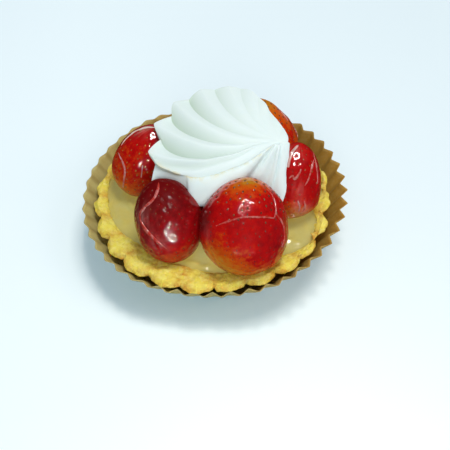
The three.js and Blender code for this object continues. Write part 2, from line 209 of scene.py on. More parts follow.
def polar(r, angle, z, middle=(0, 0)):
    """Points at a height, whose place is the middle plus the radius times the cosine and sine of the direction."""
    x, y = middle[0] + r * np.cos(angle * DEGREE), middle[1] + r * np.sin(angle * DEGREE)
    return np.stack(np.broadcast_arrays(x, y, z), axis=-1)


def ring(count):
    """That many even directions round, in degrees."""
    return np.arange(count) * 360 / count


def noise(points, size, seed):
    """Smooth random values from -1 to 1. Each corner of a cubic lattice of that size has a fixed value, worked out
    from its whole coordinates, and a point blends the eight corners round it with the smooth step 3t^2 - 2t^3."""
    place = np.asarray(points) / size + 1000.5
    cell = np.floor(place).astype(np.int64)
    t = place - cell
    t = t * t * (3 - 2 * t)
    total = np.zeros(t.shape[:-1])
    for corner in range(8):
        step = np.array([corner & 1, corner >> 1 & 1, corner >> 2 & 1])
        key = (cell + step) @ np.array([73856093, 19349663, 83492791]) + seed * 7919
        key = (key ^ (key >> 13)) * 1274126177
        value = ((key ^ (key >> 16)) & 0xFFFF) / 32767.5 - 1
        total += np.prod(np.where(step, t, 1 - t), axis=-1) * value
    return total


def rough(points, size, octaves, seed):
    """Sum of noises, each half the size and 0.55 of the height of the one before."""
    return sum(noise(points, size / 2**k, seed + k) * 0.55**k for k in range(octaves))


def through(controls, places):
    """Smooth rows through control rows, at a number of even places or at given ones: between two rows, the
    Catmull-Rom cubic of the four rows round them."""
    last = len(controls) - 1
    place = np.linspace(0, last, places) if np.isscalar(places) else places
    start = np.minimum(place.astype(int), last - 1)
    t = (place - start).reshape((-1,) + (1,) * (controls.ndim - 1))
    a, b, c, d = (controls[np.clip(start + k, 0, last)] for k in (-1, 0, 1, 2))
    return b + t / 2 * (c - a + t * (2 * a - 5 * b + 4 * c - d + t * (3 * (b - c) + d - a)))


def normals(grid):
    """Unit normals of a grid whose columns run round: the cross product of the steps along and across the rows."""
    return unit(np.cross(np.roll(grid, -1, 1) - np.roll(grid, 1, 1), np.gradient(grid, axis=0)))


def closed(grid, start, end):
    """Points, quads and triangles of a closed skin on a grid of points. Columns run round, rows run from one pole to
    the other, and each pole closes its row with triangles."""
    rows, columns = grid.shape[:2]
    row, column = np.meshgrid(np.arange(rows - 1), np.arange(columns), indexing="ij")
    a = (row * columns + column).ravel()
    b = (row * columns + (column + 1) % columns).ravel()
    quads = np.stack([a, b, b + columns, a + columns], axis=-1)
    side = np.arange(columns)
    after = (side + 1) % columns
    top = (rows - 1) * columns
    first = np.stack([np.full(columns, rows * columns), after, side], axis=-1)
    last = np.stack([np.full(columns, rows * columns + 1), top + side, top + after], axis=-1)
    return np.concatenate([grid.reshape(-1, 3), [start, end]]), quads, np.concatenate([first, last])


def joined(parts):
    """Points, quads and triangles of several closed skins as one."""
    offset = np.cumsum([0] + [len(part[0]) for part in parts])
    points = np.concatenate([part[0] for part in parts])
    quads, fans = (np.concatenate([part[k] + o for part, o in zip(parts, offset)]) for k in (1, 2))
    return points, quads, fans


def skin(name, grid, start, end, node, slot, material, attributes):
    """Object from one closed skin. An attribute's value at the poles is its mean over the nearest row."""
    attributes = {
        key: np.concatenate([values.ravel(), [values[0].mean(), values[-1].mean()]])
        for key, values in attributes.items()
    }
    put(name, closed(grid, start, end), node, material, attributes)


def put(name, shape, node, material, attributes):
    """Object from points in mm, quads and triangles, shaded smooth and riding on the frame. Faces are turned outwards
    by the sign of the volume that they enclose."""
    points, *faces = shape
    triangles = np.concatenate([f[:, k] for f in faces for k in ([0, 1, 2], [0, 2, 3]) if k[-1] < f.shape[1]])
    corner = points[triangles]
    if np.einsum("ij,ij->i", corner[:, 0], np.cross(corner[:, 1], corner[:, 2])).sum() < 0:
        faces = [f[:, ::-1] for f in faces]
    mesh = bpy.data.meshes.new(name)
    mesh.vertices.add(len(points))
    mesh.vertices.foreach_set("co", (points * MM).ravel())
    sizes = np.concatenate([np.full(len(f), f.shape[1]) for f in faces])
    mesh.loops.add(int(sizes.sum()))
    mesh.loops.foreach_set("vertex_index", np.concatenate([f.ravel() for f in faces]))
    mesh.polygons.add(len(sizes))
    mesh.polygons.foreach_set("loop_start", np.concatenate([[0], np.cumsum(sizes)[:-1]]))
    mesh.polygons.foreach_set("use_smooth", np.ones(len(sizes), bool))
    for key, values in attributes.items():
        mesh.attributes.new(key, "FLOAT", "POINT").data.foreach_set("value", values)
    mesh.update()
    mesh.validate()
    mesh.materials.append(material)
    piece = bpy.data.objects.new(name, mesh)
    bpy.context.scene.collection.objects.link(piece)
    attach(piece, "root")
    if node:
        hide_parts(node)


# ---- settings ----


def length(name, description, mm):
    """Setting for a size, given in mm and held in metres."""
    return FloatProperty(name=name, description=description, default=mm * MM, unit="LENGTH")


def tint(name, description, colour):
    """Setting for a colour."""
    return FloatVectorProperty(name=name, description=description, default=colour, subtype="COLOR")


def power(name, description, watts):
    """Setting for the power of a light."""
    return FloatProperty(name=name, description=description, default=watts, unit="POWER")


# ---- materials ----


class Recipe:
    """Node tree of one material, with a few short ways to add the usual nodes."""

    def __init__(self, name):
        self.material = bpy.data.materials.new(name)
        self.material.use_nodes = True
        self.tree = self.material.node_tree
        self.surface = self.tree.nodes["Principled BSDF"]
        self.place = self.add("ShaderNodeTexCoord").outputs["Object"]

    def add(self, kind, sockets=None, **settings):
        """Adds a node. A socket gets a number or colour, or is linked from another node's output."""
        node = self.tree.nodes.new(kind)
        for key, value in settings.items():
            setattr(node, key, value)
        self.set(node, sockets or {})
        return node

    def set(self, node, sockets):
        """Gives sockets their numbers and colours, or links them from outputs."""
        for key, value in sockets.items():
            if isinstance(value, bpy.types.NodeSocket):
                self.tree.links.new(value, node.inputs[key])
            else:
                colour = node.inputs[key].type == "RGBA"
                node.inputs[key].default_value = (*value, 1.0) if colour else value

    def noise(self, size, detail=3.0, roughness=0.55):
        """Noise pattern whose grains are about that many metres across."""
        sockets = {"Vector": self.place, "Scale": 1 / size, "Detail": detail, "Roughness": roughness}
        return self.add("ShaderNodeTexNoise", sockets).outputs["Fac"]

    def grains(self, size, levels, detail=3.0, roughness=0.55, out=(0.0, 1.0)):
        """Noise of that size whose levels are stretched to the range out."""
        return self.stretch(self.noise(size, detail, roughness), *levels, *out)

    def attribute(self, name):
        """A value that the mesh carries at its points."""
        return self.add("ShaderNodeAttribute", attribute_name=name).outputs["Fac"]

    def math(self, operation, *values, clamp=False):
        """One sum, product or other operation on numbers or outputs."""
        node = self.add("ShaderNodeMath", operation=operation, use_clamp=clamp)
        self.set(node, dict(enumerate(values)))
        return node.outputs[0]

    def stretch(self, value, low, high, to_low=0.0, to_high=1.0):
        """Maps low to high on to_low to to_high, and holds the ends."""
        sockets = {"Value": value, "From Min": low, "From Max": high, "To Min": to_low, "To Max": to_high}
        return self.add("ShaderNodeMapRange", sockets).outputs["Result"]

    def blend(self, share, first, second):
        """Colour from first to second."""
        node = self.add("ShaderNodeMix", data_type="RGBA")
        self.set(node, {0: share, 6: first, 7: second})
        return node.outputs[2]

    def layers(self, colour, *layers):
        """Colours laid over the first, each a (share, colour) pair."""
        for share, over in layers:
            colour = self.blend(share, colour, over)
        return colour

    def ramp(self, value, *stops):
        """Colour ramp through (place, colour) stops."""
        node = self.add("ShaderNodeValToRGB", {"Fac": value})
        elements = node.color_ramp.elements
        while len(elements) < len(stops):
            elements.new(0.5)
        for element, (place, colour) in zip(elements, stops):
            element.position = place
            element.color = (*colour, 1)
        return node.outputs["Color"]

    def bumps(self, *layers):
        """Bump normals from (height, strength, distance) layers, one on the other."""
        normal = None
        for height, strength, distance in layers:
            sockets = {"Height": height, "Strength": strength, "Distance": distance}
            if normal is not None:
                sockets["Normal"] = normal
            normal = self.add("ShaderNodeBump", sockets).outputs["Normal"]
        return normal

    def finish(self, colour, roughness, specular=0.5, depth=(), coat=(), **sockets):
        """Sets the surface's sockets and returns the material. Depth is the weight, radius and scale of the light that
        spreads below the surface, coat is the weight and roughness of a wet layer, and the others go by name."""
        sockets = {key.replace("_", " "): value for key, value in sockets.items()}
        sockets |= zip(("Base Color", "Roughness", "Specular IOR Level"), (colour, roughness, specular))
        sockets |= zip(("Subsurface Weight", "Subsurface Radius", "Subsurface Scale"), depth)
        sockets |= zip(("Coat Weight", "Coat Roughness"), coat)
        self.set(self.surface, sockets)
        return self.material


def dim(colour, share):
    """Colour times a factor, which is darker below 1."""
    return [c * share for c in colour]


def paper_material(settings):
    """Brown greaseproof paper: painted light makes it khaki towards the left, painted shade darkens it in the folds and
    on the right of the wall, with cloudy fibres and fine specks.
    """
    recipe = Recipe("brown greaseproof paper")
    shade = recipe.layers(
        settings.pale_colour,
        # Painted light and shade: khaki towards the left side, brown towards the right
        (recipe.attribute("browner"), settings.colour),
        (recipe.grains(0.006, (0.35, 0.65), 4.0, out=(0.0, 0.35)), dim(settings.colour, 0.62)),
        (recipe.grains(0.0011, (0.3, 0.7), 5.0, 0.7, (0.0, 0.28)), dim(settings.pale_colour, 1.1)),
        # Painted shade: darker in the folds and on the right of the wall
        (recipe.stretch(recipe.attribute("fold"), 0.0, 0.5, 0.45, 0.0), dim(settings.colour, 0.4)),
    )
    normal = recipe.bumps((recipe.noise(0.0008, 4.0), 0.25, 0.0003), (recipe.noise(0.005), 0.3, 0.0008))
    return recipe.finish(shade, 0.62, 0.15, (0.15, (0.5, 0.35, 0.15), 0.0012), Normal=normal)


def crust_material(settings):
    """Shortcrust: golden crumb in facets, each a little paler or darker, baked ochre on edges, in notches and in spots,
    with dark pits, dry, and rough from crumbs of two sizes."""
    recipe = Recipe("baked shortcrust")
    wander = recipe.add("ShaderNodeTexNoise", {"Vector": recipe.place, "Scale": 900.0, "Detail": 2.0}).outputs["Color"]
    spread = recipe.add("ShaderNodeVectorMath", {0: wander, 1: (0.0011, 0.0011, 0.0011)}, operation="MULTIPLY")
    bent = recipe.add("ShaderNodeVectorMath", {0: recipe.place, 1: spread.outputs[0]}, operation="ADD").outputs[0]
    facets = recipe.add("ShaderNodeTexVoronoi", {"Vector": bent, "Scale": 1 / 0.0017})
    own = recipe.add("ShaderNodeSeparateColor", {"Color": facets.outputs["Color"]}).outputs["Red"]
    cloud = recipe.grains(0.006, (0.5, 0.75), out=(0.0, 0.15))
    bake = recipe.math("ADD", recipe.attribute("bake"), cloud, clamp=True)
    shade = recipe.layers(
        settings.colour,
        (recipe.math("MULTIPLY", own, recipe.grains(0.0013, (0.33, 0.67), 5.0, 0.7)), settings.pale_colour),
        (recipe.math("MULTIPLY", bake, recipe.grains(0.0024, (0.32, 0.6), 4.0, 0.65)), settings.baked_colour),
        (recipe.grains(0.0010, (0.26, 0.4), 3.0, 0.6, (0.3, 0.0)), dim(settings.baked_colour, 0.6)),
    )
    normal = recipe.bumps(
        (facets.outputs["Distance"], 0.3, -0.0009),
        (recipe.noise(0.0006, 4.0, 0.7), 0.5, 0.0004),
        (recipe.noise(0.0024), 0.4, 0.0011),
    )
    return recipe.finish(shade, 0.8, 0.25, (0.15, (1.0, 0.7, 0.2), 0.0008), Normal=normal)


def custard_material(settings):
    """Custard under clear gel: pale yellow, deeper and more golden where the gel is thick, with a wet, wavy coat. It
    glows with its own colour as painted light, most of all between the two front strawberries."""
    recipe = Recipe("custard under gel")
    cloud = recipe.grains(0.007, (0.35, 0.65), out=(0.0, 0.35))
    shade = recipe.layers(
        settings.colour,
        (recipe.math("ADD", recipe.attribute("gel"), cloud, clamp=True), settings.gel_colour),
        (recipe.grains(0.0012, (0.3, 0.7), 4.0, 0.7, (0.0, 0.2)), dim(settings.gel_colour, 0.7)),
    )
    # Painted light: the custard glows with its own colour, by the painted glow's share
    carried = recipe.blend(recipe.attribute("carried"), (0, 0, 0), shade)
    normal = recipe.bumps((recipe.noise(0.003, 2.0), 0.15, 0.0006))
    light = {"Emission_Color": carried, "Emission_Strength": 1.0}
    return recipe.finish(shade, 0.4, 0.05, (0.4, (1.0, 0.8, 0.4), 0.0015), (1.0, 0.03), Coat_Normal=normal, **light)


def strawberry_material(settings):
    """Strawberry flesh under clear gel: colour from ripeness, a little paler round the seeds, mottled, milk-white where
    the gel has set white and where a sheen on the gel is painted, with a wet coat over small lumps."""
    recipe = Recipe("glazed strawberry")
    mottle = recipe.grains(0.0022, (0.32, 0.68), 6.0, 0.8, (-0.15, 0.15))
    ripe = recipe.ramp(
        recipe.math("ADD", recipe.attribute("ripeness"), mottle, clamp=True),
        (0.0, settings.pale_colour),
        (0.28, settings.orange_colour),
        (0.5, settings.red_colour),
        (0.8, settings.deep_colour),
        (1.0, dim(settings.deep_colour, 0.5)),
    )
    shade = recipe.layers(
        ripe,
        (recipe.math("MULTIPLY", recipe.attribute("pore"), 0.05), settings.pore_colour),
        # Milk-white of set gel, partly painted sheen
        (recipe.attribute("milky"), settings.gel_colour),
    )
    lumps = recipe.bumps((recipe.noise(0.0016), 0.16, 0.0006), (recipe.noise(0.0048, 2.0), 0.15, 0.0012))
    normals = {"Normal": recipe.bumps((recipe.noise(0.0009), 0.25, 0.0003)), "Coat_Normal": lumps}
    coat = recipe.attribute("wet"), 0.03
    return recipe.finish(shade, 0.5, 0.02, (0.1, (1.0, 0.08, 0.04), 0.0016), coat, Coat_IOR=1.42, **normals)


def seed_material(settings):
    """Seeds, from dark brown to straw by each seed's own tone, reddened where flesh and gel cover them, wet."""
    recipe = Recipe("strawberry seed")
    shade = recipe.layers(
        settings.seed_colour,
        (recipe.attribute("tone"), settings.pale_seed_colour),
        (recipe.grains(0.0005, (0.35, 0.65), 2.0, out=(0.0, 0.4)), dim(settings.seed_colour, 0.5)),
        (recipe.attribute("cover"), dim(settings.deep_colour, 0.45)),
    )
    return recipe.finish(shade, 0.4, 0.2, coat=(0.6, 0.1))


def cream_material(settings):
    """Whipped cream: soft satin white with deep scattering, with painted shade in the creases, on the flanks and down
    the side, a faint ochre tint along edges, a very fine bump."""
    recipe = Recipe("whipped cream")
    stain = recipe.math("MULTIPLY", recipe.attribute("stain"), recipe.grains(0.0022, (0.38, 0.58)))
    shade = recipe.layers(
        settings.colour,
        (recipe.grains(0.01, (0.35, 0.65), out=(0.0, 0.5)), dim(settings.colour, 0.975)),
        # Painted shade in the creases, on the flanks and down the side
        (recipe.attribute("hollow"), settings.crease_shade_colour),
        (stain, settings.ochre_tint_colour),
    )
    normal = recipe.bumps((recipe.noise(0.0007, 4.0), 0.14, 0.0002), (recipe.noise(0.003, 2.0), 0.16, 0.0005))
    return recipe.finish(shade, 0.5, 0.12, (0.5, (1.0, 0.95, 0.85), 0.0011), Normal=normal)


def gel_material(settings):
    """Set gel in folds: reddish and clear to milk-white by each fold's own share, partly set gel and partly painted
    highlight, cloudy, with a wet surface.
    """
    recipe = Recipe("set gel")
    cloud = recipe.grains(0.0016, (0.3, 0.7), out=(-0.2, 0.16))
    milky = recipe.math("ADD", recipe.attribute("milky"), cloud, clamp=True)
    shade = recipe.blend(milky, settings.colour, settings.milk_white_and_sheen_colour)
    normal = recipe.bumps((recipe.noise(0.0008, 2.0), 0.3, 0.0003))
    return recipe.finish(shade, 0.25, 0.1, (0.4, (1.0, 0.2, 0.1), 0.0008), (0.35, 0.1), Normal=normal)


def floor_material(settings):
    """Pale floor with the faintest cloudiness, darker to the right as painted shade, and a bluish painted glow that
    lifts its shadows.
    """
    recipe = Recipe("pale floor")
    across = recipe.add("ShaderNodeSeparateXYZ", {"Vector": recipe.place}).outputs["X"]
    shade = recipe.layers(
        settings.floor_colour,
        (recipe.grains(0.3, (0.3, 0.7), 2.0), dim(settings.floor_colour, 0.985)),
        # Painted shade: darker to the right
        (recipe.stretch(across, -0.06, 0.1), dim(settings.floor_colour, 0.9)),
    )
    # Painted light: a bluish glow that lifts the shadows
    return recipe.finish(shade, 0.45, Emission_Color=settings.glow_colour, Emission_Strength=0.17)


# ---- paper case ----


class TartPaperSettings(bpy.types.PropertyGroup):
    base_radius: length("Base radius", "Radius of the flat base", 32)
    rim_radius: length("Rim radius", "Radius of the wall's top", 48.0)
    rim_height: length("Rim height", "Height of the wall", 19.8)
    thickness: length("Thickness", "Thickness of the paper", 0.3)
    pleats: IntProperty(name="Pleats", description="Number of pleats round the wall", default=46)
    pleat_depth: length("Pleat depth", "Mean depth at the rim", 1.55)
    colour: tint("Colour", "Brown of the paper", (0.44, 0.235, 0.022))
    pale_colour: tint("Pale colour", "Khaki of the paper's lit side", (0.48, 0.42, 0.165))


# Columns of a pleat, and rows on each side of the paper
PLEAT_COLUMNS = 14
WALL_ROWS = 22


def case_wall(settings, angle, share, fold, inside):
    """Point of the pleated wall. The tips' radius grows evenly with the share of the height and is pressed in and
    down by the heavy side of the crust; a valley lies inside the tips by the pleats' depth times the share."""
    base, rim, height = settings.base_radius / MM, settings.rim_radius / MM, settings.rim_height / MM
    sag = np.maximum(0, np.cos(2 * (angle + 100) * DEGREE)) ** 3
    depth = settings.pleat_depth / MM + 0.75 * np.cos((angle + 30) * DEGREE)
    flat = polar(20, angle, 0)
    depth = depth * (1 + 0.22 * noise(flat, 5, 31))
    tip = mix(base, rim - 3.1 * sag, share) + 0.5 * np.sin(np.pi * share)
    radius = tip - depth * share * (1 - fold) - 0.25 * share * (1 + noise(flat, 9, 32))
    z = share * (height - 2.6 * sag - 0.35 * (1 + noise(flat, 6, 33)) * share)
    radius = radius - inside * settings.thickness / MM
    z = np.maximum(z, inside * settings.thickness / MM)
    return polar(radius, angle, z)


class TART_OT_paper_case(bpy.types.Operator):
    """Makes the pleated paper case: a flat base and a flared wall of folds, as one thin closed skin"""

    bl_idname = "tart.paper_case"
    bl_label = "Paper case"

    def execute(self, context):
        settings = context.scene.tart_paper
        side = np.arange(settings.pleats * PLEAT_COLUMNS) / PLEAT_COLUMNS
        angle = (side + 0.03 * np.sin(4 * side * 2 * np.pi / settings.pleats)) * 360 / settings.pleats
        # Folds run from 0 in a valley to 1 at a tip as the arcsine of a cosine, whose corners its factor rounds
        sharp = 0.86 + 0.13 * np.cos((angle + 25) * DEGREE)
        fold = 0.5 - 0.5 * np.arcsin(sharp * np.cos(2 * np.pi * side)) / np.arcsin(sharp)
        share = np.linspace(0, 1, WALL_ROWS)
        share = np.concatenate([share, share[::-1]])[:, None]
        inside = np.repeat([0.0, 1.0], WALL_ROWS)[:, None]
        angle, share, fold, inside = np.broadcast_arrays(angle, share, fold, inside)
        grid = case_wall(settings, angle, share, fold, inside)
        # Painted light and shade: brown towards the right and khaki towards the left, and darker in the creases and
        # towards 38 degrees
        browner = np.clip(0.5 + 0.8 * np.cos((angle - 28) * DEGREE), 0, 1)
        crease = np.where(inside > 0, fold, 1 - fold)
        attributes = {"browner": browner, "fold": mix(1.0, crease, share) * (1 - bump(angle, 38, 27))}
        middle = (0, 0, 0), (0, 0, settings.thickness / MM)
        skin("paper_case_pleats", grid, *middle, "paper_case", "paper", paper_material(settings), attributes)
        return {"FINISHED"}


# ---- crust ----


class TartCrustSettings(bpy.types.PropertyGroup):
    radius: length("Radius", "Radius of the rim", 42.6)
    rim_height: length("Rim height", "Height of the rim's edge", 18.2)
    flutes: IntProperty(name="Flutes", description="Number of lobes round the rim", default=23)
    flute_depth: length("Flute depth", "Depth of the notches", 2.7)
    crumb: length("Crumb", "Height of the crumbly relief", 0.55)
    colour: tint("Colour", "Golden crumb", (0.77, 0.66, 0.07))
    pale_colour: tint("Pale colour", "Pale crumb", (0.83, 0.75, 0.215))
    baked_colour: tint("Baked colour", "Browned edges", (0.58, 0.29, 0.018))


# Columns of a lobe, rows of the profile, direction of the first notch, and radius of the rim's inner edge
LOBE_COLUMNS = 34
CRUST_ROWS = 112
FIRST_NOTCH = -93.1
INNER_EDGE = 39.0


def crust_inner_radius(angle):
    """Radius of the rim's inner edge: less where the rim is thick and more where it is thin."""
    uneven = 2.4 * bump(angle, -57, 9) + 3.3 * bump(angle, -12, 8) - 1.2 * bump(angle, -34, 7)
    return INNER_EDGE - 7.5 * bump(angle, -122, 50) - uneven


class TART_OT_crust(bpy.types.Operator):
    """Makes the fluted shortcrust shell with its thick, crumbly rim"""

    bl_idname = "tart.crust"
    bl_label = "Crust"

    def execute(self, context):
        settings = context.scene.tart_crust
        radius, height = settings.radius / MM, settings.rim_height / MM
        flute = np.arange(settings.flutes * LOBE_COLUMNS) / LOBE_COLUMNS
        even = FIRST_NOTCH + flute * 360 / settings.flutes
        angle = even - 1.3 * np.cos(3 * (even + 150) * DEGREE)
        lobe = polar(radius, angle, 0)
        # Notches are 1 between two lobes and fall to 0 as a low power of the sine's square
        notch_share = 1 - (np.abs(np.sin(np.pi * flute)) ** 2 + 0.0008) ** 0.275
        uneven = 0.3 * noise(lobe, 9, 1) - 0.5 * bump(angle, -46, 5) + 0.4 * bump(angle, -31, 4)
        notch = notch_share * settings.flute_depth / MM * (1 + uneven)
        swell = 0.8 * noise(lobe, 11, 2) + 0.7 * bump(angle, -45, 16)
        lift = 0.5 * noise(lobe, 13, 3)
        inner = crust_inner_radius(angle) + 0.7 * noise(lobe, 8, 4)
        edge = radius + swell
        # Radius and height from the outer foot over the rim to the inner floor
        outline = [
            (29.5 - notch * 0.3, 0.9),
            (34.8 - notch * 0.7, 9.5),
            (38.8 - notch * 0.9, 15.0),
            (edge - 1.9 - notch, 17.0 + lift),
            (edge - notch, height + lift),
            (edge - 1.3 - notch * 0.8, height + 1.28 + lift),
            (mix(inner, edge, 0.62), height + 1.6 + lift),
            (inner + 0.9, height + 0.56 + 0.6 * lift),
            (inner, CUSTARD_TOP - 0.3),
            SHELL_FLOOR,
        ]
        controls = np.array([np.broadcast_arrays(r, z, angle)[:2] for r, z in outline])
        rows = through(controls, np.interp(np.linspace(0, 1, CRUST_ROWS), [0, 0.14, 0.24, 0.9, 1], [0, 2, 3, 8, 9]))
        r, z = rows[:, 0], rows[:, 1]
        grid = polar(r, angle, z, CRUST_MIDDLE)
        outward = normals(grid)
        above = np.clip((z - 4) / 8, 0, 1)
        # Hollows go in and grains stand out along the normals, by noises of several sizes
        hollows = 0.6 * rough(grid, 2.2, 3, 11) + 0.6 * np.abs(rough(grid, 4.2, 2, 15)) - 0.3
        grains = 1.1 * np.clip(noise(grid, 1.9, 21) - 0.45, 0, 1) + 0.9 * np.clip(noise(grid, 3.6, 22) - 0.5, 0, 1)
        grid = grid - outward * ((hollows - grains) * settings.crumb / MM * above)[..., None]
        rim = bell((z - height - 0.4) / 1.2) * np.clip((r - mix(inner, edge, 0.75)) / 2, 0, 1)
        # Browner at the tops of the notches, along the rim, down the outer wall towards its foot, towards the front
        # right and in three spots
        bake = notch_share**0.7 * np.clip((z - 12) / 5, 0, 1) + 0.65 * rim + 0.35 * np.clip((16 - z) / 8, 0, 1)
        browned = 0.5 * bump(angle, -60, 3) + 0.4 * bump(angle, -34, 4) + 0.4 * bump(angle, -108, 3)
        bake = np.clip(bake + 0.12 * np.clip(np.cos((angle + 25) * DEGREE), 0, 1) + browned, 0, 1)
        middle = (*CRUST_MIDDLE, outline[0][1]), (*CRUST_MIDDLE, SHELL_FLOOR[1])
        skin("crust_shell", grid, *middle, "crust", "crust", crust_material(settings), {"bake": bake})
        return {"FINISHED"}


# ---- strawberries ----


class TartStrawberrySettings(bpy.types.PropertyGroup):
    seed_spacing: length("Seed spacing", "Between neighbours", 2.9)
    seed_length: length("Seed length", "Length of a seed", 1.05)
    dimple_depth: length("Dimple depth", "Of each seed's dimple", 0.22)
    red_colour: tint("Red", "Ripe flesh", (0.44, 0.0025, 0.002))
    deep_colour: tint("Deep red", "Very ripe flesh", (0.24, 0.002, 0.004))
    orange_colour: tint("Orange", "Half-ripe flesh", (0.53, 0.075, 0.002))
    pale_colour: tint("Pale", "Unripe flesh", (0.42, 0.20, 0.012))
    pore_colour: tint("Pore", "Round the seeds", (0.60, 0.05, 0.01))
    # Milk-white of set gel, also used as painted sheen
    gel_colour: tint("Gel", "Milky gel", (0.74, 0.36, 0.32))
    seed_colour: tint("Seed", "Dark seeds", (0.06, 0.022, 0.003))
    pale_seed_colour: tint("Pale seed", "Straw-coloured seeds", (0.50, 0.20, 0.02))


def berry_axes(berry):
    """Middle, length to the tip, and the unit vectors along the axis and across it."""
    middle, tip = np.array(berry.middle), np.array(berry.tip)
    axis = tip - middle
    front = np.linalg.norm(axis)
    axis = axis / front
    across = np.cross(axis, [0, 0, 1])
    across /= np.linalg.norm(across)
    return middle, front, axis, across, np.cross(axis, across)


def berry_points(berry, turn, share):
    """Points of a strawberry's smooth surface. Share runs from -1 at the hull end over 0 at the widest section to 1
    at the tip. The hull end is half an ellipsoid; in front of it the radius falls as (1 - share^fullness)^shoulder."""
    middle, front, axis, across, along = berry_axes(berry)
    turn, share = np.asarray(turn) * DEGREE, np.asarray(share)
    ahead = (1 - np.maximum(share, 0) ** berry.fullness) ** STRAWBERRY_SHOULDER
    r = berry.radius * np.where(share < 0, np.sqrt(np.clip(1 - share**2, 0, 1)), ahead)
    distance = share * np.where(share < 0, berry.back * berry.radius, front)
    return (
        middle
        + distance[..., None] * axis
        + (r * np.cos(turn))[..., None] * across
        + (r * np.sin(turn))[..., None] * along
    )


def spots(berry, points, places):
    """Sum of bells round places on a strawberry: amount times e to the minus square of the distance over the size."""
    total = np.zeros(points.shape[:-1])
    for turn, share, size, amount in places:
        away = points - berry_points(berry, turn, share)
        total += amount * np.exp(-np.sum(away**2, axis=-1) / size**2)
    return total


def glazed_points(index, turn, share):
    """Points of a strawberry's glazed, lumpy surface and its outward directions, which are the cross product of the
    steps round and along the smooth surface. Lumps are noise of two sizes plus the strawberry's own bulges."""
    berry = STRAWBERRIES[index]
    points = berry_points(berry, turn, share)
    ahead, back = (berry_points(berry, turn, np.clip(share + k, -0.9995, 0.9995)) for k in (0.004, -0.004))
    left, right = (berry_points(berry, turn + k, share) for k in (0.5, -0.5))
    outward = unit(np.cross(left - right, ahead - back))
    outward *= np.sign(np.sum(outward * (points - np.array(berry.middle)), axis=-1, keepdims=True))
    lumps = 0.42 * noise(points, 8, 40 + index) + 0.2 * noise(points, 3.6, 50 + index)
    lumps = (lumps + spots(berry, points, berry.bulges)) * np.sqrt(np.clip(1 - share**2, 0, 1))
    return points + outward * lumps[..., None], outward


def berry_gap(berry, points):
    """Rough distance from points to a strawberry's surface: negative inside. The strawberry is taken as an ellipsoid
    on each side of its widest section, and its own shape is a little fuller towards the tip."""
    middle, front, axis, _, _ = berry_axes(berry)
    away = points - middle
    distance = away @ axis
    across = np.linalg.norm(away - distance[..., None] * axis, axis=-1)
    reach = np.where(distance < 0, berry.back * berry.radius, front)
    size = np.hypot(distance / reach, across / berry.radius)
    return (size - 1) / np.maximum(size, 1e-6) * np.linalg.norm(away, axis=-1)


def seed_places(berry, spacing, rng):
    """Turns in degrees and shares of the seeds: evenly spaced in area from end to end, each a golden angle on from
    the last, with a random shift."""
    share = np.linspace(-0.97, 0.985, 400)
    points = berry_points(berry, np.zeros_like(share), share)
    middle, _, axis, _, _ = berry_axes(berry)
    away = points - middle
    r = np.linalg.norm(away - (away @ axis)[:, None] * axis, axis=-1)
    step = np.linalg.norm(np.diff(points, axis=0), axis=-1)
    area = np.concatenate([[0], np.cumsum(np.pi * (r[1:] + r[:-1]) * step)])
    count = int(area[-1] / (spacing**2 * 0.9))
    wanted = np.clip((np.arange(count) + 0.5 + rng.uniform(-0.9, 0.9, count)) / count, 0, 1) * area[-1]
    turn = (np.arange(count) * GOLDEN_ANGLE + rng.uniform(-9, 9, count)) % 360
    return turn, np.interp(wanted, area, share)


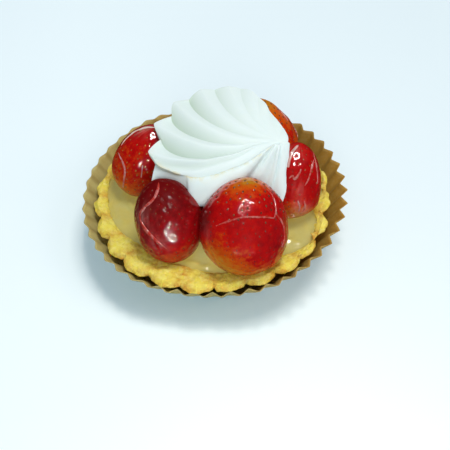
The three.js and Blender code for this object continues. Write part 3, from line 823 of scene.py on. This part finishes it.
class TART_OT_strawberries(bpy.types.Operator):
    """Makes the six strawberries with their dimples, all their seeds as one joined piece, and the red gel between the
    two front strawberries, painted dark as the shade in that gap"""

    bl_idname = "tart.strawberries"
    bl_label = "Strawberries"

    def execute(self, context):
        settings = context.scene.tart_strawberry
        rng = np.random.default_rng(RANDOM_START)
        material = strawberry_material(settings)
        share = np.sin(np.linspace(-1, 1, STRAWBERRY_ROWS)[1:-1] * np.pi / 2)
        turn, share = np.meshgrid(ring(STRAWBERRY_COLUMNS), share)
        seeds, looks = [], []
        for index, berry in enumerate(STRAWBERRIES):
            grid, outward = glazed_points(index, turn, share)
            seed_turn, seed_share = seed_places(berry, settings.seed_spacing / MM, rng)
            # Square of the distance to the nearest seed, round which lies a bell-shaped dimple
            near = np.full(share.shape, 1e9)
            for point in berry_points(berry, seed_turn, seed_share):
                near = np.minimum(near, np.sum((berry_points(berry, turn, share) - point) ** 2, axis=-1))
            low, mid, high = berry.ripeness
            ripeness = np.where(share < 0, mix(mid, low, np.abs(share) ** 1.3), mix(mid, high, np.abs(share) ** 1.6))
            ripeness = ripeness + spots(berry, grid, berry.patches)
            ripeness = ripeness + 0.07 * noise(grid, 8, 60 + index) + 0.05 * noise(grid, 3, 70 + index)
            streak = np.stack([turn * 0.16, share * 3.5, 0 * turn], axis=-1)
            streak = np.clip(0.45 + 0.9 * rough(streak, 1, 2, 75 + index), 0, 1)
            # Milk-white streaks: set gel, and painted sheen on the glaze
            milky = spots(berry, grid, berry.milky) * streak
            grid = grid - outward * (settings.dimple_depth / MM * np.exp(-near / 0.75**2))[..., None]
            wet = 1 - np.clip(spots(berry, grid, berry.dull), 0, 0.95)
            attributes = {"ripeness": ripeness, "pore": np.exp(-near / 0.85**2), "milky": milky, "wet": wet}
            ends = berry_points(berry, np.zeros(2), np.array([-1.0, 1.0]))
            name = berry.node
            skin(f"glazed_{name}", grid, *ends, name, "strawberry", material, attributes)
            part, look = self.seed_set(settings, index, seed_turn, seed_share, rng)
            seeds += part
            looks.append(look)
        tone, cover = np.concatenate(looks, axis=1)
        seed = seed_material(settings)
        put("strawberry_seeds", joined(seeds), None, seed, {"tone": tone, "cover": cover})
        self.gel_and_shade_between(material)
        return {"FINISHED"}

    def seed_set(self, settings, index, turn, share, rng):
        """A strawberry's seeds: each a drop from three rings and two ends, lying along the strawberry with its thin
        end towards the tip, half sunk in its dimple. Also their tone and how far red covers them."""
        berry = STRAWBERRIES[index]
        base, up = glazed_points(index, turn, share)
        ahead = glazed_points(index, turn, np.minimum(share + 0.01, 0.999))[0] - base
        ahead -= up * np.sum(ahead * up, axis=-1, keepdims=True)
        ahead = unit(ahead)
        beside = np.cross(ahead, up)
        tone, cover_back, cover_tip = berry.seeds
        cover = mix(cover_back, cover_tip, np.clip((share - 0.3) / 0.3, 0, 1)) + rng.uniform(-0.25, 0.25, len(turn))
        tone = tone + rng.uniform(-0.3, 0.3, len(turn))
        long = settings.seed_length / MM * rng.uniform(0.75, 1.1, len(turn)) * (1 - 0.35 * np.clip(cover, 0, 1))
        around = np.arange(SEED_SIDES) * 2 * np.pi / SEED_SIDES
        place = np.array([-0.32, 0.0, 0.3])[:, None]
        width = np.array([0.24, 0.32, 0.17])[:, None]
        drop = np.stack([place + 0 * around, width * np.cos(around), 0.75 * width * np.sin(around)], axis=-1)
        base = base - up * (settings.dimple_depth / MM * (0.7 + 0.5 * np.clip(cover, 0, 1)))[:, None]
        axes = long[:, None, None] * np.stack([ahead, beside, up], axis=1)
        rings = base[:, None, None] + np.einsum("rak,ski->srai", drop, axes)
        ends = base[:, None] + np.array([-0.5, 0.5])[None, :, None] * axes[:, :1]
        parts = [closed(grid, *end) for grid, end in zip(rings, ends)]
        return parts, np.repeat(np.clip([tone, cover], 0, 1), 3 * SEED_SIDES + 2, axis=1)

    def gel_and_shade_between(self, material):
        """Red gel that fills the gap between the two front strawberries, painted near the darkest red as the shade in
        that
        gap: an ellipsoid behind their nearest sides and under the cream, with soft lumps."""
        middle, half = np.array([-3.4, -14.5, 24.5]), np.array([8.6, 9.0, 10.6])
        rise = np.linspace(-90, 90, 42)[1:-1, None] * DEGREE
        ball = polar(np.cos(rise), ring(64), np.sin(rise))
        grid = middle + ball * half + 0.4 * ball * noise(ball * 6, 3, 90)[..., None]
        poles = middle - half * [0, 0, 1], middle + half * [0, 0, 1]
        # Painted shade: near the darkest ripeness, with a dull coat
        looks = {"ripeness": 0.98, "pore": 0.0, "milky": 0.0, "wet": 0.3}
        attributes = {key: np.full(grid.shape[:2], value) for key, value in looks.items()}
        skin("gel_between_strawberries", grid, *poles, None, "strawberry", material, attributes)


# ---- glaze ----


class TartGlazeSettings(bpy.types.PropertyGroup):
    colour: tint("Colour", "Clear gel over red", (0.42, 0.03, 0.02))
    # Milk-white of set gel, also used as painted highlight on the folds
    milk_white_and_sheen_colour: tint("Milky colour", "Gel that has set white", (0.74, 0.66, 0.62))


# Columns of a fold, and rows for each of its places
GEL_COLUMNS = 10
GEL_ROWS = 12


def gel_fold(index, places, width, height, seed):
    """Fold of gel along places on a strawberry. Its path is the smooth curve through them, and its section is an
    ellipse of that width and height, which swells and thins by noise and closes at both ends."""
    count = GEL_ROWS * len(places)
    turn, share = through(np.array(places, float), count).T
    base, up = glazed_points(index, turn, np.clip(share, -0.99, 0.99))
    beside = np.cross(unit(np.gradient(base, axis=0)), up)
    t = np.linspace(0, 1, count)
    swell = (1 - np.abs(2 * t - 1) ** 3) ** 0.5 * (1 + 0.45 * noise(base, 2.2, seed))
    around = np.arange(GEL_COLUMNS) * 2 * np.pi / GEL_COLUMNS
    side = (swell * width / 2)[:, None] * np.cos(around)
    rise = (swell * height)[:, None] * np.sin(around)
    grid = base[:, None] + side[..., None] * beside[:, None] + rise[..., None] * up[:, None]
    return closed(grid[1:-1], base[0], base[-1])


class TART_OT_glaze(bpy.types.Operator):
    """Makes the folds of set gel on the strawberries, milk-white in part as set gel and as painted highlight"""

    bl_idname = "tart.glaze"
    bl_label = "Glaze"

    def execute(self, context):
        settings = context.scene.tart_glaze
        parts = [gel_fold(i, places, wide, high, 200 + n) for n, (i, _, wide, high, places) in enumerate(GEL_FOLDS)]
        milky = np.concatenate([np.full(len(part[0]), fold[1]) for part, fold in zip(parts, GEL_FOLDS)])
        put("gel_folds", joined(parts), None, gel_material(settings), {"milky": milky})
        return {"FINISHED"}


# ---- custard ----

# Waves in the gel: middle x and y, direction of the long side, half length, half width and height, in degrees and mm
GEL_WAVES = [
    (-9.0, -30.4, -12, 2.8, 1.3, 0.85), (-4.8, -32.4, -4, 3.0, 1.3, 0.85), (-1.4, -30.2, 10, 2.2, 1.2, 0.75),
    (-2.2, -28.2, 15, 2.2, 1.4, 0.5), (24.4, -22.9, 24, 2.0, 0.8, 0.42), (26.4, -24.0, -24, 2.4, 0.9, 0.5),
    (30.5, -17.5, -60, 4.0, 2.2, 0.6), (-29.8, -2.4, -59, 3.4, 1.2, 0.9), (-27.2, 0.6, -70, 3.0, 1.0, 0.7),
    (-37.6, 0.4, 78, 4.6, 0.5, 0.35), (-34.8, 7.0, 40, 2.2, 0.5, 0.35), (-33.5, -8.5, -50, 5.0, 2.6, 0.5),
    (-36.8, -5.0, -80, 3.0, 0.7, 0.4),
]
# Middle and size of the place where the custard's painted glow is strongest, in mm
PAINTED_GLOW_MIDDLE = (-4.0, -28.5)
PAINTED_GLOW_SIZE = 7.5
# Columns and rows of the custard's surface
CUSTARD_COLUMNS = 420
CUSTARD_ROWS = 130


class TartCustardSettings(bpy.types.PropertyGroup):
    top: length("Top", "Height of the custard's surface", CUSTARD_TOP)
    creep: length("Creep", "How far gel climbs the strawberries", 1.6)
    colour: tint("Colour", "Custard", (0.39, 0.37, 0.14))
    gel_colour: tint("Gel colour", "Custard under thick gel", (0.47, 0.37, 0.055))


class TART_OT_custard(bpy.types.Operator):
    """Makes the custard with its film of clear gel, which lies in waves and climbs the strawberries and the crust"""

    bl_idname = "tart.custard"
    bl_label = "Custard"

    def execute(self, context):
        settings = context.scene.tart_custard
        top = settings.top / MM
        angle = ring(CUSTARD_COLUMNS)
        share = 1 - np.linspace(0, 0.985, CUSTARD_ROWS)
        r = share[:, None] * (crust_inner_radius(angle) + 1.1)
        flat = polar(r, angle, top, CRUST_MIDDLE)
        gap = np.min([berry_gap(berry, flat) for berry in STRAWBERRIES], axis=0)
        edge = crust_inner_radius(angle) + 0.6 - r
        creep = settings.creep / MM
        # Gel climbs by e to the minus distance from strawberries and crust, and swells by noise and by long bells
        climb = creep * np.exp(-np.maximum(gap, 0) / 0.9) + 0.6 * np.exp(-np.maximum(edge, 0) / 0.7)
        swell = 0.3 * noise(flat, 7, 80) + 0.16 * noise(flat, 3.0, 81)
        for x, y, direction, long, wide, high in GEL_WAVES:
            turn = direction * DEGREE
            along = (flat[..., 0] - x) * np.cos(turn) + (flat[..., 1] - y) * np.sin(turn)
            beside = (flat[..., 1] - y) * np.cos(turn) - (flat[..., 0] - x) * np.sin(turn)
            swell = swell + high * np.exp(-((along / long) ** 2) - (beside / wide) ** 2)
        flat[..., 2] += climb + swell * np.clip(edge / 1.2, 0, 1)
        low = polar(SHELL_FLOOR[0], angle, CUSTARD_UNDERSIDE, CRUST_MIDDLE)
        grid = np.concatenate([low[None], flat])
        gel = np.concatenate([np.zeros((1, len(angle))), np.clip(climb / creep + 0.35 * swell, 0, 1)])
        # Painted light: a glow of 0.34 of the custard's colour, rising to 0.84 round the front gap
        carried = 0.34 + 0.5 * np.exp(-np.sum((grid[..., :2] - PAINTED_GLOW_MIDDLE) ** 2, axis=-1) / PAINTED_GLOW_SIZE**2)
        ends = (*CRUST_MIDDLE, CUSTARD_UNDERSIDE), (*CRUST_MIDDLE, top)
        attributes = {"gel": gel, "carried": carried}
        skin("custard_under_gel", grid, *ends, "filling", "custard", custard_material(settings), attributes)
        return {"FINISHED"}


# ---- cream ----


class TartCreamSettings(bpy.types.PropertyGroup):
    radius: length("Radius", "Radius of the swirl's ring", 24.7)
    ring_height: length("Ring height", "Height of the ring", 44.1)
    dome: length("Dome", "Rise from the ring to the middle", 3.2)
    ridge_depth: length("Ridge depth", "Mean depth of the creases", 3.3)
    colour: tint("Colour", "Whipped cream", (0.715, 0.82, 0.82))
    # Painted shade in the creases, on the flanks and down the side
    crease_shade_colour: tint("Hollow colour", "Cream in the creases", (0.44, 0.57, 0.46))
    # Ochre tint along the ring's front edge and the lower fold's upper edge
    ochre_tint_colour: tint("Stain colour", "Cream stained by custard", (0.72, 0.66, 0.38))


# Columns for each degree, rows of the top and of the side, how far the swirl is lowered in mm, and columns and rows of
# the lower fold
CREAM_DENSITY = 2.0
CREAM_TOP_ROWS = 80
CREAM_SIDE_ROWS = 60
CREAM_SINK = 0.06
FOLD_COLUMNS = 32
FOLD_ROWS = 235


def cream_rim(angle):
    """Radius, lift and depth of creases over the directions: smooth curves through the rim's table."""
    turn = (angle + 184) % 360 - 184
    table = np.concatenate([CREAM_RIM, CREAM_RIM[:1] + [360, 0, 0, 0]])
    places = np.interp(turn, table[:, 0], np.arange(len(table)))
    return through(table, places.ravel()).reshape(*turn.shape, 4)[..., 1:]


def cream_top(settings, share, angle):
    """Top of the swirl without its ridges. A line runs from the pole to the ring's point in that direction, and its
    near end is turned about the pole; the height falls with the square of the distance from the ring's middle. Where
    the rim lies further in than the ring, the line's points are pulled in, most of all the outer ones."""
    radius = settings.radius / MM
    a = angle * DEGREE
    edge = CREAM_MIDDLE + radius * np.stack([np.cos(a), np.sin(a)], axis=-1) - CREAM_POLE
    turn = (32 - 18 * np.cos(a) + 6 * np.sin(a)) * (1 - bump(angle, -52, 38)) * DEGREE * (1 - share)
    x = CREAM_POLE[0] + share * (np.cos(turn) * edge[..., 0] - np.sin(turn) * edge[..., 1]) - CREAM_MIDDLE[0]
    y = CREAM_POLE[1] + share * (np.sin(turn) * edge[..., 0] + np.cos(turn) * edge[..., 1]) - CREAM_MIDDLE[1]
    out = np.minimum(1, np.hypot(x, y) / radius)
    direction = np.arctan2(y, x)
    rim, lift, _ = np.moveaxis(cream_rim(direction / DEGREE), -1, 0)
    dent = 1 - rim / radius
    pull = 1 - dent * out ** (1 + 4 * np.clip(1 - dent * 2.2, 0, 1) ** 2)
    z = settings.ring_height / MM + 2.9 * out * np.sin(direction) + settings.dome / MM * (1 - out**2) + lift * out**2
    return np.stack([CREAM_MIDDLE[0] + x * pull, CREAM_MIDDLE[1] + y * pull, z], axis=-1)


def cream_columns():
    """Directions of the columns, and their places between two creases, from 0 at the crease of greater direction to
    1."""
    places, angles = [], []
    for crease, after in zip(CREAM_CREASES, np.roll(CREAM_CREASES, -1)):
        span = (crease - after) % 360
        place = np.maximum(np.linspace(0, 1, int(span * CREAM_DENSITY), endpoint=False), 1e-3)
        places.append(place)
        angles.append(crease - span * place)
    return np.concatenate(angles)[::-1], np.concatenate(places)[::-1]


def ridge_height(place, crest):
    """Height of a ridge between two creases: the soft minimum (a^-n + b^-n)^(-1/n) of a straight flank in front of the
    crest and a rounder one behind it."""
    flank = place / crest
    behind = ((1 - place) / (1 - crest)) ** 0.85
    return (flank**-12 + behind**-12) ** (-1 / 12)


class TART_OT_cream(bpy.types.Operator):
    """Makes the piped swirl of cream, whose ridges run from an off-centre pole over its ring and down its side, and
    the fold of cream below it"""

    bl_idname = "tart.cream"
    bl_label = "Cream"

    def execute(self, context):
        settings = context.scene.tart_cream
        angle, place = cream_columns()
        a = angle * DEGREE
        radial = polar(1, angle, 0)
        share = (1 - (1 - np.arange(1, CREAM_TOP_ROWS + 1) / CREAM_TOP_ROWS) ** 1.5)[:, None]
        crest = 0.68 - 0.14 * share**4 * (1 - bump(angle, -165, 22))
        hollow = 1 - ridge_height(place, crest)
        depth = settings.ridge_depth / MM * cream_rim(angle)[:, 2] * hollow
        # Creases go down near the pole and inwards near the rim, deeper by a power of the share
        top = cream_top(settings, share, angle)
        lean = share**8
        crease = depth * share ** (1.5 + 0.8 * np.sin(a))
        top = top - radial * (crease * lean)[..., None]
        top[..., 2] -= crease * (1 - lean) * 0.8
        # The side steps in and drops by its table, and the creases fade down it
        step, drop = through(CREAM_SIDE, CREAM_SIDE_ROWS)[1:].T[:, :, None]
        edge = cream_top(settings, 1.0, angle)
        fade = 1 - np.linspace(0, 1, CREAM_SIDE_ROWS)[1:, None]
        side = edge - radial * (step + depth[-1] * fade)[..., None]
        side[..., 2] = np.maximum(edge[:, 2] - drop, CREAM_UNDERSIDE)
        grid = np.concatenate([top, side])
        grid[..., 2] -= CREAM_SINK
        grid = grid + 0.12 * noise(grid, 4, 95)[..., None] * radial
        # An ochre tint along the front of the ring's edge, in a smear on the left side, and fading down the top of the
        # side
        line = bump(angle, -110, 55)
        smear = bump(angle, -172, 9) * bump(drop * 12, 40, 22)
        stain = np.concatenate([line * bell((1 - share) / 0.03), np.maximum(smear, line * fade**4)])
        material = cream_material(settings)
        pole = cream_top(settings, 0.0, 0.0) - np.array([0, 0, CREAM_SINK])
        end = (*CREAM_MIDDLE, CREAM_UNDERSIDE - CREAM_SINK)
        # Painted shade: deepest in the creases and on the flank in front of each crest, and an even 0.4 down the side
        shaded = hollow * share * np.clip(cream_rim(angle)[:, 2], 0, 1) * np.where(place < crest, 1, 0.25)
        attributes = {"stain": stain, "hollow": np.concatenate([shaded, np.full(side.shape[:2], 0.4)])}
        skin("cream_swirl", grid, pole, end, "cream", "cream", material, attributes)
        self.lower_fold(material)
        return {"FINISHED"}

    def lower_fold(self, material):
        """The fold of cream below the ring: at each place along it, an ellipse from the upper to the lower edge, which
        swells outwards by the given amount, less at a crease, is closed 1.6 to 5 mm behind, and thins at both ends."""
        rows = through(CREAM_FOLD, FOLD_ROWS)
        upper, lower, swell = rows[:, :3], rows[:, 3:6], rows[:, 6]
        place = np.linspace(0, len(CREAM_FOLD) - 1, len(rows))
        for crease in FOLD_CREASES:
            swell = swell - 0.6 * bell((place - crease) / 0.4)
        half = (lower - upper) / 2
        out = unit(np.cross(half, np.gradient(upper + half, axis=0)))
        out *= -np.sign(np.sum(out * [0, 1, 0], axis=-1, keepdims=True))
        around = np.arange(FOLD_COLUMNS) * 2 * np.pi / FOLD_COLUMNS
        thick = 1.6 + 3.4 * np.clip((place - 9) / 3, 0, 1)[:, None]
        reach = np.sin(around) * np.where(np.sin(around) > 0, np.maximum(swell, 0.05)[:, None], thick)
        reach = reach * (1 - np.abs(np.linspace(-1, 1, len(rows))) ** 16)[:, None]
        grid = (upper + half)[:, None] - half[:, None] * np.cos(around)[:, None] + out[:, None] * reach[..., None]
        grid = grid + 0.1 * noise(grid, 3, 96)[..., None]
        ends = grid[0].mean(axis=0), grid[-1].mean(axis=0)
        # An ochre tint along the upper edge of the fold's left part
        stain = bell(around / 0.6) * np.clip((11 - place[1:-1, None]) / 3, 0, 0.9)
        attributes = {"stain": stain, "hollow": np.zeros_like(stain)}
        skin("cream_lower_fold", grid[1:-1], *ends, "cream", "cream", material, attributes)


# ---- stage ----

# Lights: names, places and sizes in mm
LAMPS = [
    ("key", (330, 0, 1340), 420), ("top", (110, 80, 1100), 150), ("front", (-40, -900, 650), 500),
    ("side", (760, -350, 800), 400),
]
# Lights that show in wet surfaces: places and sizes in mm, and shares of the full strength
GLINTS = [
    ((55, 40, 550), 90, 1), ((170, 10, 520), 40, 1), ((110, -440, 230), 24, 4), ((-107, -490, 110), 22, 6),
    ((20, -511, 40), 18, 6), ((-6, -150, 560), 56, 1.2),
]
# Camera: degrees above the floor and of roll, distance, lens, and how far its aim lies right of and above the middle
CAMERA_RISE = 49.3
CAMERA_ROLL = -4.2
CAMERA_DISTANCE = 350
CAMERA_LENS = 74.4
CAMERA_AIM = (2.88, 0.79)


class TartStageSettings(bpy.types.PropertyGroup):
    floor_colour: tint("Floor", "Pale floor", (0.825, 0.865, 0.835))
    glow_colour: tint("Glow", "In shadow", (0.0, 0.5, 1.0))
    floor_size: length("Floor size", "Side of the floor", 4000)
    key_power: power("Key power", "Power of the key light", 7.8)
    front_power: power("Front power", "Power of the front light", 2.4)
    side_power: power("Side power", "Power of the side light", 1.4)
    top_power: power("Top power", "Power of the top light", 1.7)
    glint_strength: FloatProperty(name="Glint strength", description="Radiance of the mirrored lights", default=160.0)
    sky_strength: FloatProperty(name="Sky strength", description="Strength of the soft surrounding light", default=0.42)


def light(name, place, size, watts, mirrored=False):
    """Square area light that faces the middle of the tart. Place in mm. A mirrored light only shows in wet surfaces,
    and any other only lights what it falls on."""
    lamp = bpy.data.lights.new(name, "AREA")
    lamp.size, lamp.energy, lamp.color = size * MM, watts, (1.0, 0.98, 0.95)
    body = bpy.data.objects.new(name, lamp)
    body.location = Vector(place) * MM
    body.rotation_euler = (Vector(place) - Vector((0, 0, 25))).to_track_quat("Z", "Y").to_euler()
    body.visible_glossy, body.visible_diffuse = mirrored, not mirrored
    bpy.context.scene.collection.objects.link(body)


class TART_OT_stage(bpy.types.Operator):
    """Makes the pale floor, the soft studio lights, the surrounding light and the camera"""

    bl_idname = "tart.stage"
    bl_label = "Stage"

    def execute(self, context):
        settings = context.scene.tart_stage
        half = settings.floor_size / 2
        mesh = bpy.data.meshes.new("floor")
        mesh.from_pydata([(-half, -half, 0), (half, -half, 0), (half, half, 0), (-half, half, 0)], [], [(0, 1, 2, 3)])
        mesh.materials.append(floor_material(settings))
        floor = bpy.data.objects.new("floor", mesh)
        floor.visible_glossy = False
        context.scene.collection.objects.link(floor)
        for name, place, size in LAMPS:
            light(f"{name} light", place, size, getattr(settings, f"{name}_power"))
        for place, size, share in GLINTS:
            light("glint light", place, size, settings.glint_strength * share * np.pi * (size * MM) ** 2, mirrored=True)
        world = bpy.data.worlds.new("surroundings")
        world.use_nodes = True
        background = world.node_tree.nodes["Background"]
        background.inputs["Color"].default_value = (0.90, 0.96, 1.0, 1)
        background.inputs["Strength"].default_value = settings.sky_strength
        world.cycles_visibility.glossy = False
        context.scene.world = world
        context.scene.view_settings.view_transform = "Standard"
        self.camera(context)
        return {"FINISHED"}

    def camera(self, context):
        """Camera that looks down at a point near the middle, rolled a little about its own axis."""
        rise, roll = np.radians(CAMERA_RISE), np.radians(CAMERA_ROLL)
        back = Vector((0, -np.cos(rise), np.sin(rise)))
        level = Vector((1, 0, 0))
        up = back.cross(level)
        right = np.cos(roll) * level + np.sin(roll) * up
        above = -np.sin(roll) * level + np.cos(roll) * up
        target = CAMERA_AIM[0] * level + CAMERA_AIM[1] * Vector((0, np.sin(rise), np.cos(rise)))
        data = bpy.data.cameras.new("camera")
        data.lens, data.sensor_width = CAMERA_LENS, 36
        data.clip_start, data.clip_end = 0.01, 20
        camera = bpy.data.objects.new("camera", data)
        pose = Matrix((right, above, back)).transposed().to_4x4()
        pose.translation = (target + back * CAMERA_DISTANCE) * MM
        camera.matrix_world = pose
        context.scene.collection.objects.link(camera)
        context.scene.camera = camera


# ---- panel and registration ----

GROUPS = {
    "tart_paper": TartPaperSettings,
    "tart_crust": TartCrustSettings,
    "tart_strawberry": TartStrawberrySettings,
    "tart_glaze": TartGlazeSettings,
    "tart_custard": TartCustardSettings,
    "tart_cream": TartCreamSettings,
    "tart_stage": TartStageSettings,
}
OPERATORS = [
    TART_OT_paper_case,
    TART_OT_crust,
    TART_OT_custard,
    TART_OT_strawberries,
    TART_OT_glaze,
    TART_OT_cream,
    TART_OT_stage,
]


class TART_PT_panel(bpy.types.Panel):
    """Lists the tart's pieces with their settings"""

    bl_idname = "TART_PT_panel"
    bl_label = "Strawberry tart"
    bl_space_type = "VIEW_3D"
    bl_region_type = "UI"
    bl_category = "Tart"

    def draw(self, context):
        for operator in OPERATORS:
            self.layout.operator(operator.bl_idname)
        for key, group in GROUPS.items():
            box = self.layout.box()
            for name in group.__annotations__:
                box.prop(getattr(context.scene, key), name)


def register():
    for group in GROUPS.values():
        bpy.utils.register_class(group)
    for operator in OPERATORS:
        bpy.utils.register_class(operator)
    bpy.utils.register_class(TART_PT_panel)
    for key, group in GROUPS.items():
        setattr(bpy.types.Scene, key, PointerProperty(type=group))


def unregister():
    for key in GROUPS:
        delattr(bpy.types.Scene, key)
    bpy.utils.unregister_class(TART_PT_panel)
    for cls in [*OPERATORS, *GROUPS.values()]:
        bpy.utils.unregister_class(cls)


def main():
    """Makes every piece in order."""
    register()
    bpy.ops.tart.paper_case()
    bpy.ops.tart.crust()
    bpy.ops.tart.custard()
    bpy.ops.tart.strawberries()
    bpy.ops.tart.glaze()
    bpy.ops.tart.cream()
    bpy.ops.tart.stage()


if __name__ == "__main__":
    main()
